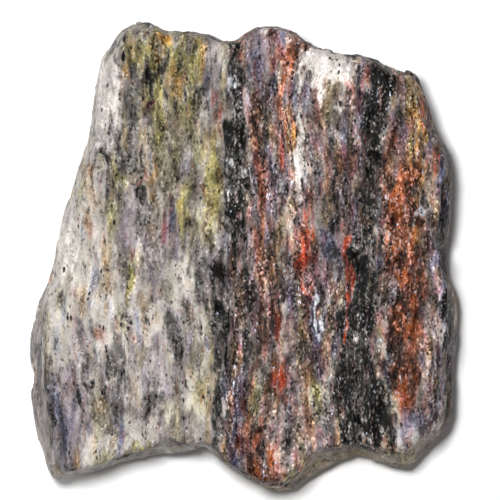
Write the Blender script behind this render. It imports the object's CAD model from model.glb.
"""The looks of a banded skarn hand specimen, seen from straight above.

The stone lies on its broken back. +Y runs along its mineral bands and +X across them.
"""

import math

import bpy
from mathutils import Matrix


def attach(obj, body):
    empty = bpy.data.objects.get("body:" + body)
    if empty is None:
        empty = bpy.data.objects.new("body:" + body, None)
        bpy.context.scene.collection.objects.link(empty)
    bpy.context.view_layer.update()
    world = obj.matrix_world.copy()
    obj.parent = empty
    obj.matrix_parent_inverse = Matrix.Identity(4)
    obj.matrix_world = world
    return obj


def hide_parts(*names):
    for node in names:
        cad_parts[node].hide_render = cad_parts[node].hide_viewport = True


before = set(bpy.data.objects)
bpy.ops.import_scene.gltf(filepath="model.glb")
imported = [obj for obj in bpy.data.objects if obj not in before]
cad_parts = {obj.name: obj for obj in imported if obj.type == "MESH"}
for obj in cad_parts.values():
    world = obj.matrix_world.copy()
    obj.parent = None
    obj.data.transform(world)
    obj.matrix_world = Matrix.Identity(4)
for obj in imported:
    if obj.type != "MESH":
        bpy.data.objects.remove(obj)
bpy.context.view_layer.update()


# The table top that the stone lies on, and the photographer's lights and camera.
# Matt white card in a pale room, lit by a large soft window light from the upper left and by a
# small lamp nearly overhead. The camera is far above and looks straight down.
MM = 1000  # in a metre
FLOOR_WIDTH = 3.0
MOTTLES_PER_MM = 0.3
ROOM_STRENGTH = 0.14
FRAME_PIXELS = 500
MM_PER_PIXEL = 0.2173
MIDDLE_OF_STONE_PIXEL = (242.75, 256.5)
OUTLINE_HEIGHT = 0.015
LENS_MM, SENSOR_MM = 1200, 36
VECTOR_MATH, RANGE = "ShaderNodeVectorMath", "ShaderNodeMapRange"
NOISE = "ShaderNodeTexNoise"


def linear(colour):
    """An sRGB hex colour as linear red, green, blue and alpha."""
    shares = [int(colour[i : i + 2], 16) / 255 for i in (1, 3, 5)]
    return [s / 12.92 if s <= 0.04045 else ((s + 0.055) / 1.055) ** 2.4 for s in shares] + [1]


def add_node(tree, kind, inputs=(), output=None, **settings):
    """Adds a node with its settings and links, and gives the node or the output asked for.

    The inputs are values or other nodes' outputs, either in the node's own order or by name.
    """
    node = tree.nodes.new(kind)
    for name, value in settings.items():
        setattr(node, name, value)
    named = inputs if isinstance(inputs, dict) else dict(enumerate(inputs))
    for name, value in named.items():
        if isinstance(value, bpy.types.NodeSocket):
            tree.links.new(value, node.inputs[name])
        else:
            node.inputs[name].default_value = value
    return node if output is None else node.outputs[output]


def new_material(name):
    """A material with its node tree and its one shader."""
    material = bpy.data.materials.new(name)
    material.use_nodes = True
    tree = material.node_tree
    return material, tree, tree.nodes["Principled BSDF"]


# Card is matt, and its fibres are drawn as a faint mottle, coarse enough to show
card, tree, shader = new_material("matt white card")
where = add_node(tree, "ShaderNodeTexCoord", output="Object")
from_corner = add_node(tree, VECTOR_MATH, (where, [FLOOR_WIDTH / 2] * 3), 0, operation="ADD")
mottle_inputs = {"Vector": from_corner, "Scale": MOTTLES_PER_MM * MM, "Detail": 3}
mottle = add_node(tree, NOISE, mottle_inputs, "Fac")
tone = add_node(tree, RANGE, (mottle, 0, 1, 0.90, 0.94), 0)
tree.links.new(tone, shader.inputs["Base Color"])
shader.inputs["Roughness"].default_value = 0.9

bpy.ops.object.select_all(action="DESELECT")
bpy.ops.mesh.primitive_plane_add(size=FLOOR_WIDTH)
floor = bpy.context.object
floor.name = "table_top"
floor.data.materials.append(card)

world = bpy.data.worlds.new("pale room")
bpy.context.scene.world = world
world.use_nodes = True
world.node_tree.nodes["Background"].inputs["Color"].default_value = (1, 1, 1, 1)
world.node_tree.nodes["Background"].inputs["Strength"].default_value = ROOM_STRENGTH


def add_light(name, place, size, power):
    """A square soft light that shines at the stone."""
    bpy.ops.object.light_add(type="AREA", location=place)
    light = bpy.context.object
    light.name = name
    light.data.size = size
    light.data.energy = power
    light.rotation_euler = light.location.to_track_quat("Z", "Y").to_euler()


add_light("window", place=(-0.80, 0.85, 1.00), size=0.80, power=7.0)
add_light("lamp overhead", place=(-0.09, 0.10, 1.30), size=0.14, power=17.5)

frame_width = FRAME_PIXELS * MM_PER_PIXEL / MM
frame_middle = (FRAME_PIXELS - 1) / 2
camera_x = (frame_middle - MIDDLE_OF_STONE_PIXEL[0]) * MM_PER_PIXEL / MM
camera_y = (MIDDLE_OF_STONE_PIXEL[1] - frame_middle) * MM_PER_PIXEL / MM
camera_z = OUTLINE_HEIGHT + frame_width * LENS_MM / SENSOR_MM
bpy.ops.object.camera_add(location=(camera_x, camera_y, camera_z), rotation=(0, 0, 0))
camera = bpy.context.object
camera.data.lens = LENS_MM
camera.data.sensor_width = SENSOR_MM
bpy.context.scene.camera = camera
bpy.context.scene.view_settings.view_transform = "Standard"


# The stone: one piece of skarn, knocked out of the rock with a hammer, so every face is a break.
# It parted along the bands in low steps with fine ribs, and across them in small hackly facets.
# The solid's form is copied, given an even fine mesh, and broken up by facets of two sizes and ribs.
MESH_SIZE = 0.00055  # in metres, and so is the weld
WELD = 0.00001
SHARP_DEGREES = 38

# The facets and ribs, in millimetres along X, Y and Z
WANDERS_PER_MM, WANDER_REACH = 0.22, (2.4, 6.0, 5.0)
FACETS = (
    {"size": (3.4, 9.5, 7.0), "height": 0.30, "seed": (3.1, 7.7, 1.9)},
    {"size": (1.5, 4.2, 3.2), "height": 0.12, "seed": (8.3, 2.9, 5.1)},
)
FACET_SLOPE = 2.0
RIB_SIZE, RIB_HEIGHT = (0.8, 4.5, 3.0), 0.15
MATH, CELLS = "ShaderNodeMath", "ShaderNodeTexVoronoi"


def measured(tree, place, size, seed):
    """The place, counted in patches of this size along X, Y and Z."""
    counted = add_node(tree, VECTOR_MATH, (place, size), 0, operation="DIVIDE")
    return add_node(tree, VECTOR_MATH, (counted, seed), 0, operation="ADD")


def broken_facets(tree, place, size, height, seed):
    """Facets of this size, each at its own height and with its own slope."""
    spot = measured(tree, place, size, seed)
    facet = add_node(tree, CELLS, {"Vector": spot, "Scale": 1}).outputs
    across = add_node(tree, VECTOR_MATH, (spot, facet["Position"]), 0, operation="SUBTRACT")
    slope = add_node(tree, VECTOR_MATH, (facet["Color"], (0.5, 0.5, 0.5)), 0, operation="SUBTRACT")
    lean = add_node(tree, VECTOR_MATH, (across, slope), "Value", operation="DOT_PRODUCT")
    lot = add_node(tree, "ShaderNodeTexWhiteNoise", {"Vector": facet["Position"]}, "Value")
    level = add_node(tree, MATH, (lot, -0.5), 0, operation="ADD")
    total = add_node(tree, MATH, (lean, FACET_SLOPE, level), 0, operation="MULTIPLY_ADD")
    return add_node(tree, MATH, (total, height), 0, operation="MULTIPLY")


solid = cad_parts["skarn_stone"]
stone = solid.copy()
stone.data = solid.data.copy()
stone.name = stone.data.name = "skarn_surface"
bpy.context.collection.objects.link(stone)
bpy.ops.object.select_all(action="DESELECT")
stone.select_set(True)
bpy.context.view_layer.objects.active = stone
bpy.ops.object.mode_set(mode="EDIT")
bpy.ops.mesh.select_all(action="SELECT")
bpy.ops.mesh.remove_doubles(threshold=WELD)
bpy.ops.object.mode_set(mode="OBJECT")
even = stone.modifiers.new("Even mesh", "REMESH")
even.mode = "VOXEL"
even.voxel_size = MESH_SIZE
bpy.ops.object.modifier_apply(modifier=even.name)

# The break: the bent ribs and facets add up to a height, and each point rises by it along its normal
breaking = bpy.data.node_groups.new("broken surface", "GeometryNodeTree")
for way in ("INPUT", "OUTPUT"):
    breaking.interface.new_socket(name="Geometry", in_out=way, socket_type="NodeSocketGeometry")
whole = add_node(breaking, "NodeGroupInput", output="Geometry")
position = add_node(breaking, "GeometryNodeInputPosition", output="Position")
normal = add_node(breaking, "GeometryNodeInputNormal", output="Normal")
place = add_node(breaking, VECTOR_MATH, (position, (MM, MM, MM)), 0, operation="MULTIPLY")
wander_inputs = {"Vector": place, "Scale": WANDERS_PER_MM, "Detail": 2}
wander = add_node(breaking, NOISE, wander_inputs, "Color")
bent = add_node(breaking, VECTOR_MATH, (wander, WANDER_REACH, place), 0, operation="MULTIPLY_ADD")
rib_spot = measured(breaking, bent, RIB_SIZE, (0, 0, 0))
ribs = add_node(breaking, NOISE, {"Vector": rib_spot, "Scale": 1, "Detail": 3}, "Fac")
height = add_node(breaking, RANGE, (ribs, 0, 1, -RIB_HEIGHT, RIB_HEIGHT), 0)
for facets in FACETS:
    steps = broken_facets(breaking, bent, **facets)
    height = add_node(breaking, MATH, (height, steps), 0, operation="ADD")
height = add_node(breaking, MATH, (height, 1 / MM), 0, operation="MULTIPLY")
rise = add_node(breaking, VECTOR_MATH, {0: normal, "Scale": height}, 0, operation="SCALE")
moved = add_node(breaking, VECTOR_MATH, (position, rise), 0, operation="ADD")
resting = add_node(breaking, VECTOR_MATH, (moved, (-1, -1, 0)), 0, operation="MAXIMUM")
shaped = add_node(breaking, "GeometryNodeSetPosition", {"Geometry": whole, "Position": resting}, 0)
add_node(breaking, "NodeGroupOutput", {"Geometry": shaped})
broken = stone.modifiers.new("Broken surface", "NODES")
broken.node_group = breaking
bpy.ops.object.modifier_apply(modifier=broken.name)
bpy.ops.object.shade_smooth_by_angle(angle=math.radians(SHARP_DEGREES))
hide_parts("skarn_stone")
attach(stone, "root")


# The rock itself: skarn, limestone turned by hot fluids into bands of calcite, garnet, pyroxene,
# epidote and iron oxides, and broken rough. Its grains are drawn out along the bands, so the break
# looks streaked: pale to the left, mauve and rusty to the right, with two black bands between.
MIX = "ShaderNodeMix"

# Sizes, places and reaches in millimetres, along X, Y and Z
BAND_LEAN, BAND_MIDDLE, BAND_EDGE = 0.045, -3.6, 0.8
GRAIN, LATH, SPECK = (0.33, 0.55, 0.5), (1.3, 3.4, 2.8), (0.75, 1.3, 1.1)
SWING_REACH = 4
SWAY, SWAY_REACH = (2.4, 6.5, 5), (5, 15, 12)
DUST_TOP, DUST_DEPTH = 28.6, 4
FRONT_END_STARTS, FRONT_END_FULL = -35, -41
RELIEF_MM = 0.12

# The hues of the rock between the minerals, of its dust and of its single grains
LEFT_HUES = ("#FFF1E6", "#EBE0D0", "#ECE2F0", "#FFE4D8")
RIGHT_HUES = ("#FFE4D6", "#D09A70", "#BC96B4", "#C8C6EA")
LEFT_DUST, RIGHT_DUST = "#F0E8DE", "#DCD0A4"
PALE_GRAIN, GLINT, DARK_SPECK = "#ECE6E2", "#DCE2F4", "#161517"

# The lenses lie at the height of the upper face, and fade out at this many times their own size
FRONT_HEIGHT = 31.0
LENS_DEPTH = 7.0
LENS_REACH = 1.4

# The rock's middle tone, from 0 for black to 1 for the full hue, and how steeply it turns to light
TONE = 0.39
TONE_POWER = 2.2

# The numbers of the sockets of a mix: those of two colours, then those of two numbers
SHARE, HUE_UNDER, HUE_OVER, HUE_RESULT = 0, 6, 7, 2
UNDER, OVER, RESULT = 2, 3, 0

# Each mineral, from the one that lies lowest to the one that lies over all the others. Lift is how
# much paler it is than the rock on the whole, and contrast how far its grains differ in tone. Share
# is how much of it there is left and right of the first black band, and streak is how wide its
# streaks are. A lens is a rich spot: its middle along X and Y, half its width and half its length,
# all in millimetres, and how rich it is. Less than nothing keeps the mineral out of the lens.
MINERALS = (
    {
        "name": "lilac calcite",
        "colour": "#FFEAF8",
        "lift": 0.15,
        "contrast": 0.6,
        "share": (0.20, 0.30),
        "streak": 2.4,
        "lenses": (
            (-39.5, -29, 4.5, 20, 0.6), (-30, -9.5, 5, 6, 0.5), (-24.5, 9.5, 3.5, 7, 0.5),
            (-17, -28, 3, 10, 0.4), (17, -38, 5, 10, 0.35), (35.5, -32.5, 4.5, 7, 0.9),
            (3.5, 41.5, 2.4, 6, 0.7), (18, 14.5, 4.5, 15, 0.35), (26.5, 39.5, 2.6, 5, 0.5),
            (5.5, 48, 5, 3, 0.9), (-2.1, -44.6, 1.6, 3, 0.8), (44.4, 5, 1.6, 9, 0.8),
            (16.5, 1.7, 1.8, 6, 0.8),
        ),
    },
    {
        "name": "white calcite",
        "colour": "#FFF7EC",
        "lift": 0.34,
        "contrast": 0.48,
        "share": (0.3, 0.2),
        "streak": 2.0,
        "lenses": (
            (-34, 12, 3.5, 15, 0.9), (-37.5, 4, 2.6, 6.5, 0.8), (-35.5, -5.5, 5.5, 6, 0.5),
            (-17, -14.5, 1.6, 4, 0.5), (-13, -5.2, 2.6, 5.2, 1.0), (-8.7, -13.5, 1.3, 3.5, 1.0),
            (-10.4, -30, 3, 4.5, 1.0), (-30, -10, 5.2, 7, 0.8), (-28.5, -19.4, 3, 3, 0.8),
            (-31.5, -41.5, 2.2, 6.5, 0.9), (-22.3, -39.4, 4.3, 4.3, 0.7), (-16.7, -33, 2, 3, 0.6),
            (-15.4, 44.7, 1.1, 2.2, 1.2), (-1.3, 45.6, 0.9, 2, 1.2), (11, 9.3, 1.6, 4.6, 1.1),
            (10.2, 3.9, 1.7, 4.3, 0.7), (31, -17.8, 1.3, 3, 1.0), (42.5, -15, 2, 4.6, 1.9),
            (28, -40.4, 3, 1.7, 0.8), (36.8, -40, 3.5, 2.6, 1.0), (41, -39, 2, 2.6, 0.9),
            (33.7, -31.7, 3, 6, 0.5), (14.6, -31.3, 3, 9.6, 0.35), (-41, -5, 3.4, 14, 1.3),
            (-40.2, -19, 3, 6, 0.8), (-21.6, -14.5, 2, 4.5, 1.1), (-28.9, 2.4, 2.2, 4, 0.8),
            (8.2, -13.5, 2.4, 5, 1.1), (-19.3, -12, 2.2, 4, 0.9), (-9.8, -29, 2.4, 5, 0.9),
            (30, -24.6, 1.4, 4, 0.9), (-25, 44.5, 2.2, 2.5, 0.8), (-18.5, 24.5, 1.8, 4, 0.8),
        ),
    },
    {
        "name": "slate-blue pyroxene",
        "colour": "#BCC6FF",
        "lift": -0.04,
        "contrast": 1.0,
        "share": (-0.05, 0.17),
        "streak": 2.6,
        "lenses": (
            (-26.5, -31.7, 1.4, 7.4, 0.8), (42.8, 4.5, 1.7, 15, 1.7), (32.4, -24.8, 0.8, 5.6, 1.2),
            (3, 42, 1.5, 4.8, 0.6), (-1, -35.7, 1.3, 9.6, 0.8), (15.2, -13.5, 1.3, 7.4, 1.0),
            (-39.7, -31.3, 4, 18, 0.35), (-28.4, 11, 2, 5.2, 0.3), (18.5, 2.4, 1.3, 5.6, 0.9),
            (-15.4, 8.9, 1.3, 4.3, 0.5),
        ),
    },
    {
        "name": "olive epidote",
        "colour": "#EEDF8E",
        "lift": 0.13,
        "contrast": 1.1,
        "share": (0.04, 0.09),
        "streak": 3.0,
        "lenses": (
            (-18.5, 43, 6.5, 9, 0.7), (-23.8, 33, 2.2, 12, 0.5), (-11, 42, 3.5, 7, 0.5),
            (-6.7, 16, 2, 11, 1.1), (-12.4, 11, 1.1, 5.2, 0.8), (-25.8, 17.6, 0.9, 3.5, 0.8),
            (-23.7, -7.4, 0.9, 5.2, 0.9), (-7.4, -19, 1.5, 16, 0.4), (-18, 25, 9, 18, 0.45),
            (37.4, 30, 2.2, 14, 1.1), (32.6, 8.9, 1.3, 3.5, 0.9), (15, -30, 2, 4.8, 0.7),
            (20.5, -43.9, 3, 1.5, 0.9), (13, -46.6, 5, 3, 0.5), (35, -44, 6, 2, 0.8),
            (-18.7, -43.5, 11.7, 2, 0.8), (3.3, -29, 1.7, 9.6, 0.35), (26.5, -1, 1.7, 14.3, 0.35),
        ),
    },
    {
        "name": "ochre garnet",
        "colour": "#FFC464",
        "lift": 0.10,
        "contrast": 1.4,
        "share": (-0.06, 0.12),
        "streak": 2.4,
        "lenses": (
            (-25.6, 40.5, 1.3, 2.6, 1.6), (-14, 38, 1.7, 4.8, 1.0), (-17.6, 45, 1.6, 2.8, 0.8),
            (-9, 41, 1.6, 4, 0.6), (-20, 18, 0.8, 9, 0.7), (38, 34, 2.6, 9, 1.1),
            (37.4, 18, 1.6, 9, 0.7), (37, -8, 2.2, 20, 0.55), (32.6, 8.9, 1.2, 3.5, 1.0),
            (3.6, 4, 1.2, 7, 0.7), (10.5, 26, 1.6, 12, 0.3), (-33, 17, 2.4, 7, 0.5),
            (-30.6, -14.8, 1.4, 2.8, 0.5),
        ),
    },
    {
        "name": "rusty garnet",
        "colour": "#F6823E",
        "lift": -0.06,
        "contrast": 1.15,
        "share": (-0.18, 0.11),
        "streak": 2.8,
        "lenses": (
            (35.2, -4, 2.8, 28, 0.95), (32.4, 12, 2.2, 15, 0.6), (39.6, 27.4, 1.7, 11, 0.4),
            (39.4, 33.4, 1.1, 3, 1.0), (35, -21, 2.4, 11, 0.6), (10, 44.4, 3, 4, 0.7),
            (8, 32.8, 1.5, 11.7, 0.5), (3, 19.8, 1.3, 17.4, 0.3), (4, 7.8, 1.5, 13, 0.4),
            (0.7, -36.7, 1.7, 5.6, 0.7), (2.9, -44.8, 2.4, 5.2, 0.8), (6.3, -9.6, 2.4, 8, 0.6),
            (19, 14.3, 1.3, 11.7, 0.4), (-32.3, 19, 2, 5.2, 0.4), (-30.6, -14.8, 1.3, 2.6, 0.35),
            (13, 3, 2.6, 11, 0.6), (6.3, -41, 3, 8, 0.8), (22.2, -3.5, 1.5, 11, 0.4),
            (7.6, -26, 2, 6, 0.5), (42.8, 4.5, 1.6, 13, -0.5),
        ),
    },
    {
        "name": "smoky calcite",
        "colour": "#E8E0DA",
        "lift": -0.09,
        "contrast": 1.0,
        "share": (-0.25, -0.25),
        "streak": 2.2,
        "lenses": (
            (-29.8, 24, 2.4, 5, 1.2), (-24.8, 26, 2.4, 9, 1.1), (-27.3, -21.3, 1.8, 4, 1.0),
            (-21.6, 10, 2, 7, 1.2), (-26.9, -29, 2.6, 6, 1.3), (-42.8, -42, 1.4, 6, 1.0),
            (-24.1, 38.2, 2.4, 5, 1.1), (-15.6, -14, 1.8, 6, 0.6), (7, -37.5, 2.6, 8, 1.1),
            (17, -36.5, 3, 7, 0.7), (-16.5, -18, 1.8, 4, 0.6), (-9.6, -3, 2.2, 5, 1.3),
            (14.6, 20, 1.8, 6, 0.8), (-19.5, -28, 2, 4, 1.0), (18.2, -27, 2.4, 5, 0.9),
        ),
    },
    {
        "name": "black pyroxene and magnetite",
        "colour": "#F0E8DE",
        "lift": -0.31,
        "contrast": 1.05,
        "share": (-0.04, 0.04),
        "streak": 1.4,
        "lenses": (
            (-1.7, 36, 2, 14, 0.9), (-1.9, 16.5, 2.5, 13, 1.5), (-5.6, -24, 1.3, 26, 0.65),
            (29.4, 41.3, 2.4, 7.8, 0.9), (28.5, 31.5, 2.8, 12, 0.9), (27.6, 14.3, 2.4, 12, 0.55),
            (25.1, -11, 2.6, 15, 2.0), (24, -19, 3.0, 13, 1.8), (26, -34.6, 5.6, 10, 1.8),
            (-20.6, 40, 1.4, 4.6, 0.6), (-16.9, 39.3, 0.9, 3, 0.7), (-26.3, 46.5, 0.9, 1.5, 1.1),
            (-28.9, -23.7, 1.1, 3.3, 1.4), (-30.2, -29, 0.8, 1.5, 1.4),
            (-33.6, -26.5, 0.8, 2.6, 0.9), (-36.5, -32.6, 0.9, 3, 0.9), (-19.5, -31.3, 1, 2.6, 0.6),
            (-41.9, -40.4, 0.7, 9, 1.3), (45, -12.8, 1.5, 8.3, 2.2), (-22, 19.8, 0.7, 7, 0.9),
            (-7.8, -1.3, 1.2, 4.5, 0.5), (0.5, -14, 1.7, 16, 0.4), (19, 11, 1.3, 14, 0.35),
            (-11.9, 33.9, 0.9, 3, 0.7), (15, -32, 4, 10, -0.5), (28.7, -40, 2.6, 1.8, -1.3),
            (-1.2, -43.4, 2, 4, -1.0), (30, -24.6, 1.6, 4, -0.9),
        ),
    },
    {
        "name": "crimson garnet",
        "colour": "#F0708A",
        "lift": -0.02,
        "contrast": 1.0,
        "share": (-0.22, 0.0),
        "streak": 1.3,
        "lenses": (
            (-16.9, 8.2, 1.4, 6.5, 0.6), (-20.6, 33, 1, 1.7, 1.3), (-15.4, 12.8, 1.1, 4.3, 0.7),
            (-23.2, 0.8, 0.5, 2.6, 0.8), (23.3, 12, 1.1, 6.5, 0.4),
        ),
    },
    {
        "name": "red hematite",
        "colour": "#FF6030",
        "lift": 0.08,
        "contrast": 1.0,
        "share": (-0.2, -0.1),
        "streak": 1.3,
        "lenses": (
            (13.1, 2.4, 1.1, 8, 0.8), (12, -2.2, 1.1, 5, 0.8), (22.2, -3.5, 0.9, 9, 0.95),
            (22.2, 2.2, 1.0, 3, 0.9), (22.2, -12.2, 0.9, 1.8, 1.1), (7.4, -13.5, 1.3, 3, 0.8),
            (7.4, -27.8, 1.2, 3.4, 1.1), (8.7, -23.7, 1, 3, 0.5), (-5.6, 31.3, 0.9, 4.8, 0.6),
            (-21.7, 16.9, 0.9, 2.4, 0.8), (8.5, 23, 1.1, 11, 0.35), (-2.4, 42.6, 0.9, 2.4, 0.7),
            (41.5, 21.9, 1.1, 3.4, 0.6), (22.2, 36.1, 0.9, 2, 0.7),
        ),
    },
    {
        "name": "chalky calcite",
        "colour": "#FFF6EE",
        "lift": 0.42,
        "contrast": 0.7,
        "share": (-0.3, -0.3),
        "streak": 2.2,
        "lenses": (
            (-31, 35, 4, 13, 1.9), (19.3, 40.8, 4.4, 6.2, 1.6), (14.8, 43.6, 3, 4.5, 1.5),
            (5.6, 49, 4, 2, 0.9), (12.3, 21.5, 1.4, 12.5, 1.3), (-38.8, 4.5, 2.8, 12, 1.6),
            (45, 6, 1.2, 7, 0.8),
        ),
    },
    {
        "name": "teal serpentine",
        "colour": "#A4FFE4",
        "lift": 0.1,
        "contrast": 1.0,
        "share": (-2.0, -2.0),
        "streak": 1.3,
        "lenses": (
            (-10.2, -38, 1.5, 1.3, 0.9), (35.2, -37.8, 1.3, 1.3, 1.0), (42.6, -37, 1.3, 1.5, 1.1),
        ),
    },
    {
        "name": "glinting cleavage",
        "colour": "#F4F7FF",
        "lift": 0.36,
        "contrast": 1.0,
        "share": (-0.2, -0.1),
        "streak": 1.0,
        "lenses": (
            (15.7, -13.5, 0.5, 6.5, 1.2), (-2.4, 39.3, 1.7, 6, 0.6), (-15.4, 44.7, 0.9, 2.2, 0.8),
            (37.9, 10.3, 1.1, 2.8, 1.1), (-10, 20.8, 0.7, 1.7, 0.6), (35.9, -42.6, 0.7, 0.9, 1.5),
            (-5.8, 23, 0.7, 2, 0.6), (28, -38, 4, 4, 0.3), (-2, 18, 1.8, 12, 0.3),
        ),
    },
)

skarn, tree, shader = new_material("broken banded skarn")


def pattern(kind, place, size, seed, **finer):
    """The outputs of a texture whose patches have this size in millimetres."""
    spot = measured(tree, place, size, seed)
    return add_node(tree, kind, {"Vector": spot, "Scale": 1, **finer}).outputs


def between(hues, across, along):
    """A colour among four, by two numbers from 0 to 1."""
    first, second, third, fourth = [linear(hue) for hue in hues]
    layers = {SHARE: across, HUE_UNDER: first, HUE_OVER: second}
    near = add_node(tree, MIX, layers, HUE_RESULT, data_type="RGBA")
    layers = {SHARE: across, HUE_UNDER: third, HUE_OVER: fourth}
    far = add_node(tree, MIX, layers, HUE_RESULT, data_type="RGBA")
    layers = {SHARE: along, HUE_UNDER: near, HUE_OVER: far}
    return add_node(tree, MIX, layers, HUE_RESULT, data_type="RGBA")


def lens_share(lenses, start):
    """The mineral's share at each place: what it starts from, and more inside its lenses."""
    share = start
    for x, y, half_width, half_length, rich in lenses:
        half_depth = LENS_DEPTH + 0.5 * half_length
        reach = [half * LENS_REACH for half in (half_width, half_length, half_depth)]
        inputs = {"Vector": lens_place, "Location": (x, y, FRONT_HEIGHT), "Scale": reach}
        shell = add_node(tree, "ShaderNodeMapping", inputs, 0, vector_type="TEXTURE")
        core = add_node(tree, "ShaderNodeTexGradient", (shell,), "Fac", gradient_type="SPHERICAL")
        share = add_node(tree, MATH, (core, rich * LENS_REACH, share), 0, operation="MULTIPLY_ADD")
    return share


# The bands waver as they run, and their ends are drawn out in ragged fibres
where = add_node(tree, "ShaderNodeTexCoord", output="Object")
place = add_node(tree, VECTOR_MATH, (where, (MM, MM, MM)), 0, operation="MULTIPLY")
swing = pattern(NOISE, place, size=(16, 26, 20), seed=(0, 0, 0), Detail=2)["Color"]
swung = add_node(tree, VECTOR_MATH, (swing, [SWING_REACH] * 3, place), 0, operation="MULTIPLY_ADD")
bent = add_node(tree, VECTOR_MATH, (swung, [SWING_REACH / 2] * 3), 0, operation="SUBTRACT")
grain_lot = pattern(CELLS, bent, size=GRAIN, seed=(0.5, 0.5, 0.5))["Color"]
lots = add_node(tree, "ShaderNodeSeparateColor", (grain_lot,)).outputs
sway = pattern(NOISE, bent, size=SWAY, seed=(3, 3, 3), Detail=1)["Color"]
stray = add_node(tree, VECTOR_MATH, (sway, (0.5, 0.5, 0.5)), 0, operation="SUBTRACT")
lens_place = add_node(tree, VECTOR_MATH, (stray, SWAY_REACH, bent), 0, operation="MULTIPLY_ADD")
split = add_node(tree, "ShaderNodeSeparateXYZ", (lens_place,)).outputs
off_band = add_node(tree, MATH, (split["Y"], -BAND_LEAN, split["X"]), 0, operation="MULTIPLY_ADD")
right_side = add_node(tree, RANGE, (off_band, BAND_MIDDLE - BAND_EDGE, BAND_MIDDLE + BAND_EDGE), 0)

# How rough each spot is: in patches, and more so on the right
calm = pattern(NOISE, bent, size=(5, 12, 9), seed=(6, 2, 1), Detail=2)["Fac"]
rough_patch = add_node(tree, RANGE, (calm, 0.38, 0.58, 0.7, 1.15), 0)
rough_side = add_node(tree, RANGE, (right_side, 0, 1, 0.7, 1.0), 0)
rough = add_node(tree, MATH, (rough_patch, rough_side), 0, operation="MULTIPLY")

# The coarse tone, about zero: fibres and laths, then patches and long streaks, kept above a floor
streaks = pattern(NOISE, bent, size=(6, 40, 26), seed=(7, 1, 4), Detail=2)["Fac"]
patches = pattern(NOISE, lens_place, size=(3.2, 6.5, 5), seed=(4, 4, 8), Detail=1)["Fac"]
fibre = pattern(NOISE, bent, size=(1.5, 5.5, 4.5), seed=(2, 8, 6), Detail=1)["Fac"]
grit = pattern(NOISE, bent, size=(0.8, 1.8, 1.4), seed=(9, 3, 2), Detail=2)["Fac"]
lath_lot = pattern(CELLS, lens_place, size=LATH, seed=(1.5, 2.5, 3.5))["Color"]
lath = add_node(tree, "ShaderNodeSeparateColor", (lath_lot,), "Blue")
fibre_tone = add_node(tree, MATH, (fibre, 0.5), 0, operation="SUBTRACT")
lath_tone = add_node(tree, MATH, (lath, 0.2, -0.1), 0, operation="MULTIPLY_ADD")
coarse = add_node(tree, MATH, (fibre_tone, 0.75, lath_tone), 0, operation="MULTIPLY_ADD")
coarse = add_node(tree, MATH, (coarse, rough), 0, operation="MULTIPLY")
for swell, weight in ((streaks, 0.7), (patches, 0.6)):
    swell_tone = add_node(tree, MATH, (swell, 0.5), 0, operation="SUBTRACT")
    coarse = add_node(tree, MATH, (swell_tone, weight, coarse), 0, operation="MULTIPLY_ADD")
lowest = add_node(tree, RANGE, (right_side, 0, 1, -0.5, -0.13), 0)
coarse = add_node(tree, MATH, (coarse, lowest), 0, operation="MAXIMUM")

# The fine tone, about zero: single grains, a few much paler or darker than the rest, and grit
grain = add_node(tree, MATH, (lots["Red"], 2, -1), 0, operation="MULTIPLY_ADD")
grain = add_node(tree, MATH, (grain, 3), 0, operation="POWER")
grit_tone = add_node(tree, MATH, (grit, 0.36, -0.17), 0, operation="MULTIPLY_ADD")
fine = add_node(tree, MATH, (grain, 0.3, grit_tone), 0, operation="MULTIPLY_ADD")
fine = add_node(tree, MATH, (fine, rough), 0, operation="MULTIPLY")

# How far each grain is torn out of one mineral and into the next
torn_grit = add_node(tree, MATH, (grit, 1, -0.65), 0, operation="MULTIPLY_ADD")
torn = add_node(tree, MATH, (lots["Green"], 0.3, torn_grit), 0, operation="MULTIPLY_ADD")

# The rock between the minerals: veins of four hues on each side
vein_lot = pattern(NOISE, bent, size=(2.2, 8, 6), seed=(2, 6, 9), Detail=1)["Color"]
vein = add_node(tree, "ShaderNodeSeparateColor", (vein_lot,)).outputs
across = add_node(tree, RANGE, (vein["Red"], 0.4, 0.6), 0)
along = add_node(tree, RANGE, (vein["Green"], 0.4, 0.6), 0)
left_hue = between(LEFT_HUES, across, along)
right_hue = between(RIGHT_HUES, across, along)
layers = {SHARE: right_side, HUE_UNDER: left_hue, HUE_OVER: right_hue}
hue = add_node(tree, MIX, layers, HUE_RESULT, data_type="RGBA")
lift = add_node(tree, RANGE, (right_side, 0, 1, 0.085, -0.01), 0)
contrast = add_node(tree, RANGE, (right_side, 0, 1, 0.9, 1.05), 0)

# Each mineral's hue blends softly into its neighbours', but its tone changes at a torn edge
for number, mineral in enumerate(MINERALS):
    share = add_node(tree, RANGE, (right_side, 0, 1, *mineral["share"]), 0)
    share = lens_share(mineral["lenses"], share)
    width = mineral["streak"]
    streak_size = (width, 4 * width, 3 * width)
    streak = pattern(NOISE, bent, size=streak_size, seed=(number * 3.7, 1, number), Detail=1)["Fac"]
    shortfall = add_node(tree, MATH, (share, -1), 0, operation="ADD")
    level = add_node(tree, MATH, (streak, 2, shortfall), 0, operation="MULTIPLY_ADD")
    tint = add_node(tree, RANGE, (level, 0.1, 0.9), 0)
    layers = {SHARE: tint, HUE_UNDER: hue, HUE_OVER: linear(mineral["colour"])}
    hue = add_node(tree, MIX, layers, HUE_RESULT, data_type="RGBA")
    torn_level = add_node(tree, MATH, (level, torn), 0, operation="ADD")
    there = add_node(tree, RANGE, (torn_level, 0.25, 0.75), 0)
    pure = add_node(tree, RANGE, (share, 0.2, 2, 0.7 * mineral["lift"], 1.15 * mineral["lift"]), 0)
    lift = add_node(tree, MIX, {SHARE: there, UNDER: lift, OVER: pure}, RESULT)
    contrast = add_node(tree, MIX, {SHARE: there, UNDER: contrast, OVER: mineral["contrast"]}, RESULT)

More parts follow.
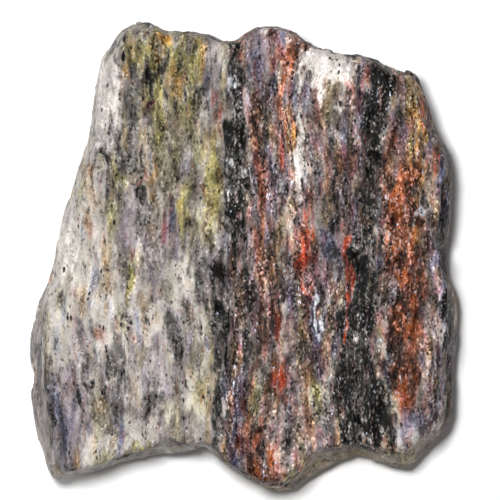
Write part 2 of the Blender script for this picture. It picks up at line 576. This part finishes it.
# Weathered dust lies on the broken sides, thickest and palest on the end that faces -Y
front_end = add_node(tree, RANGE, (split["Y"], FRONT_END_STARTS, FRONT_END_FULL), 0)
low = add_node(tree, RANGE, (split["Z"], DUST_TOP, DUST_TOP - DUST_DEPTH), 0)
thick = add_node(tree, RANGE, (front_end, 0, 1, 0.22, 0.6), 0)
dust = add_node(tree, MATH, (low, thick), 0, operation="MULTIPLY")
layers = {SHARE: right_side, HUE_UNDER: linear(LEFT_DUST), HUE_OVER: linear(RIGHT_DUST)}
dust_hue = add_node(tree, MIX, layers, HUE_RESULT, data_type="RGBA")
layers = {SHARE: dust, HUE_UNDER: hue, HUE_OVER: dust_hue}
hue = add_node(tree, MIX, layers, HUE_RESULT, data_type="RGBA")
side_lift = add_node(tree, RANGE, (right_side, 0, 1, 0.28, -0.03), 0)
dust_lift = add_node(tree, MIX, {SHARE: front_end, UNDER: side_lift, OVER: 0.31}, RESULT)
lift = add_node(tree, MIX, {SHARE: dust, UNDER: lift, OVER: dust_lift}, RESULT)
dust_contrast = add_node(tree, RANGE, (front_end, 0, 1, 0.55, 0.3), 0)
contrast = add_node(tree, MIX, {SHARE: dust, UNDER: contrast, OVER: dust_contrast}, RESULT)

# The pale grains are whitish, and the dark ones keep the hue of the rock round them
lifted = add_node(tree, MATH, (lift, TONE), 0, operation="ADD")
tone = add_node(tree, MATH, (coarse, contrast, lifted), 0, operation="MULTIPLY_ADD")
kept_tone = add_node(tree, RANGE, (tone,), 0)
bright = add_node(tree, MATH, (kept_tone, TONE_POWER), 0, operation="POWER")
in_black = add_node(tree, RANGE, (lift, -0.08, -0.3, 0, 0.6), 0)
sharper = add_node(tree, MATH, (contrast, in_black), 0, operation="ADD")
grain_tone = add_node(tree, MATH, (fine, sharper, tone), 0, operation="MULTIPLY_ADD")
kept_grain_tone = add_node(tree, RANGE, (grain_tone,), 0)
grained = add_node(tree, MATH, (kept_grain_tone, TONE_POWER), 0, operation="POWER")
deep = add_node(tree, VECTOR_MATH, (hue, hue), 0, operation="MULTIPLY")
shade = add_node(tree, VECTOR_MATH, (deep, (0.002, 0.002, 0.002)), 0, operation="MULTIPLY")
darker = add_node(tree, MATH, (bright, grained), 0, operation="MINIMUM")
layers = {SHARE: darker, HUE_UNDER: shade, HUE_OVER: hue}
colour = add_node(tree, MIX, layers, HUE_RESULT, data_type="RGBA")
gain = add_node(tree, MATH, (grained, bright), 0, operation="SUBTRACT")
paler = add_node(tree, MATH, (gain, 0), 0, operation="MAXIMUM")
layers = {SHARE: 0.45, HUE_UNDER: hue, HUE_OVER: linear(PALE_GRAIN)}
whitish = add_node(tree, MIX, layers, HUE_RESULT, data_type="RGBA")
colour = add_node(tree, VECTOR_MATH, (whitish, paler, colour), 0, operation="MULTIPLY_ADD")

# Cleavage faces glint in clusters, along the fibres and where the rock is rough
glint = add_node(tree, RANGE, (lots["Blue"], 0.84, 0.96), 0)
speckled = pattern(NOISE, bent, size=(2.4, 5.5, 4), seed=(6, 6, 1), Detail=1)["Fac"]
on_grit = add_node(tree, RANGE, (grit, 0.48, 0.62), 0)
on_fibre = add_node(tree, RANGE, (fibre, 0.47, 0.62, 0.1, 1.0), 0)
in_cluster = add_node(tree, RANGE, (speckled, 0.54, 0.44, 0.1, 1.0), 0)
for limit in (on_grit, on_fibre, rough, in_cluster):
    glint = add_node(tree, MATH, (glint, limit), 0, operation="MULTIPLY")
layers = {SHARE: glint, HUE_UNDER: colour, HUE_OVER: linear(GLINT)}
colour = add_node(tree, MIX, layers, HUE_RESULT, data_type="RGBA")

# Dark specks with ragged edges lie between the clusters
spots = pattern(CELLS, bent, size=SPECK, seed=(4, 1, 7))
off_middle = add_node(tree, MATH, (spots["Distance"], -0.45), 0, operation="ADD")
edge = add_node(tree, MATH, (grit, 0.9, off_middle), 0, operation="MULTIPLY_ADD")
spot_lot = add_node(tree, "ShaderNodeSeparateColor", (spots["Color"],), "Red")
speck = add_node(tree, RANGE, (edge, 0.42, 0.28), 0)
chosen = add_node(tree, RANGE, (spot_lot, 0.5, 0.6), 0)
off_cluster = add_node(tree, RANGE, (speckled, 0.56, 0.64, 0.0, 0.95), 0)
for limit in (chosen, off_cluster):
    speck = add_node(tree, MATH, (speck, limit), 0, operation="MULTIPLY")
layers = {SHARE: speck, HUE_UNDER: colour, HUE_OVER: linear(DARK_SPECK)}
colour = add_node(tree, MIX, layers, HUE_RESULT, data_type="RGBA")
tree.links.new(colour, shader.inputs["Base Color"])

# Broken rock is dull: its grain edges scatter the light, so it has hardly any sheen
relief = add_node(tree, MATH, (coarse, fine), 0, operation="ADD")
relief = add_node(tree, MATH, (relief, RELIEF_MM), 0, operation="MULTIPLY")
bump_inputs = {"Height": relief, "Strength": 1, "Distance": 1 / MM}
bump = add_node(tree, "ShaderNodeBump", bump_inputs, "Normal")
tree.links.new(bump, shader.inputs["Normal"])
shader.inputs["Roughness"].default_value = 0.55
shader.inputs["Specular IOR Level"].default_value = 0.08
stone.data.materials.clear()
stone.data.materials.append(skarn)
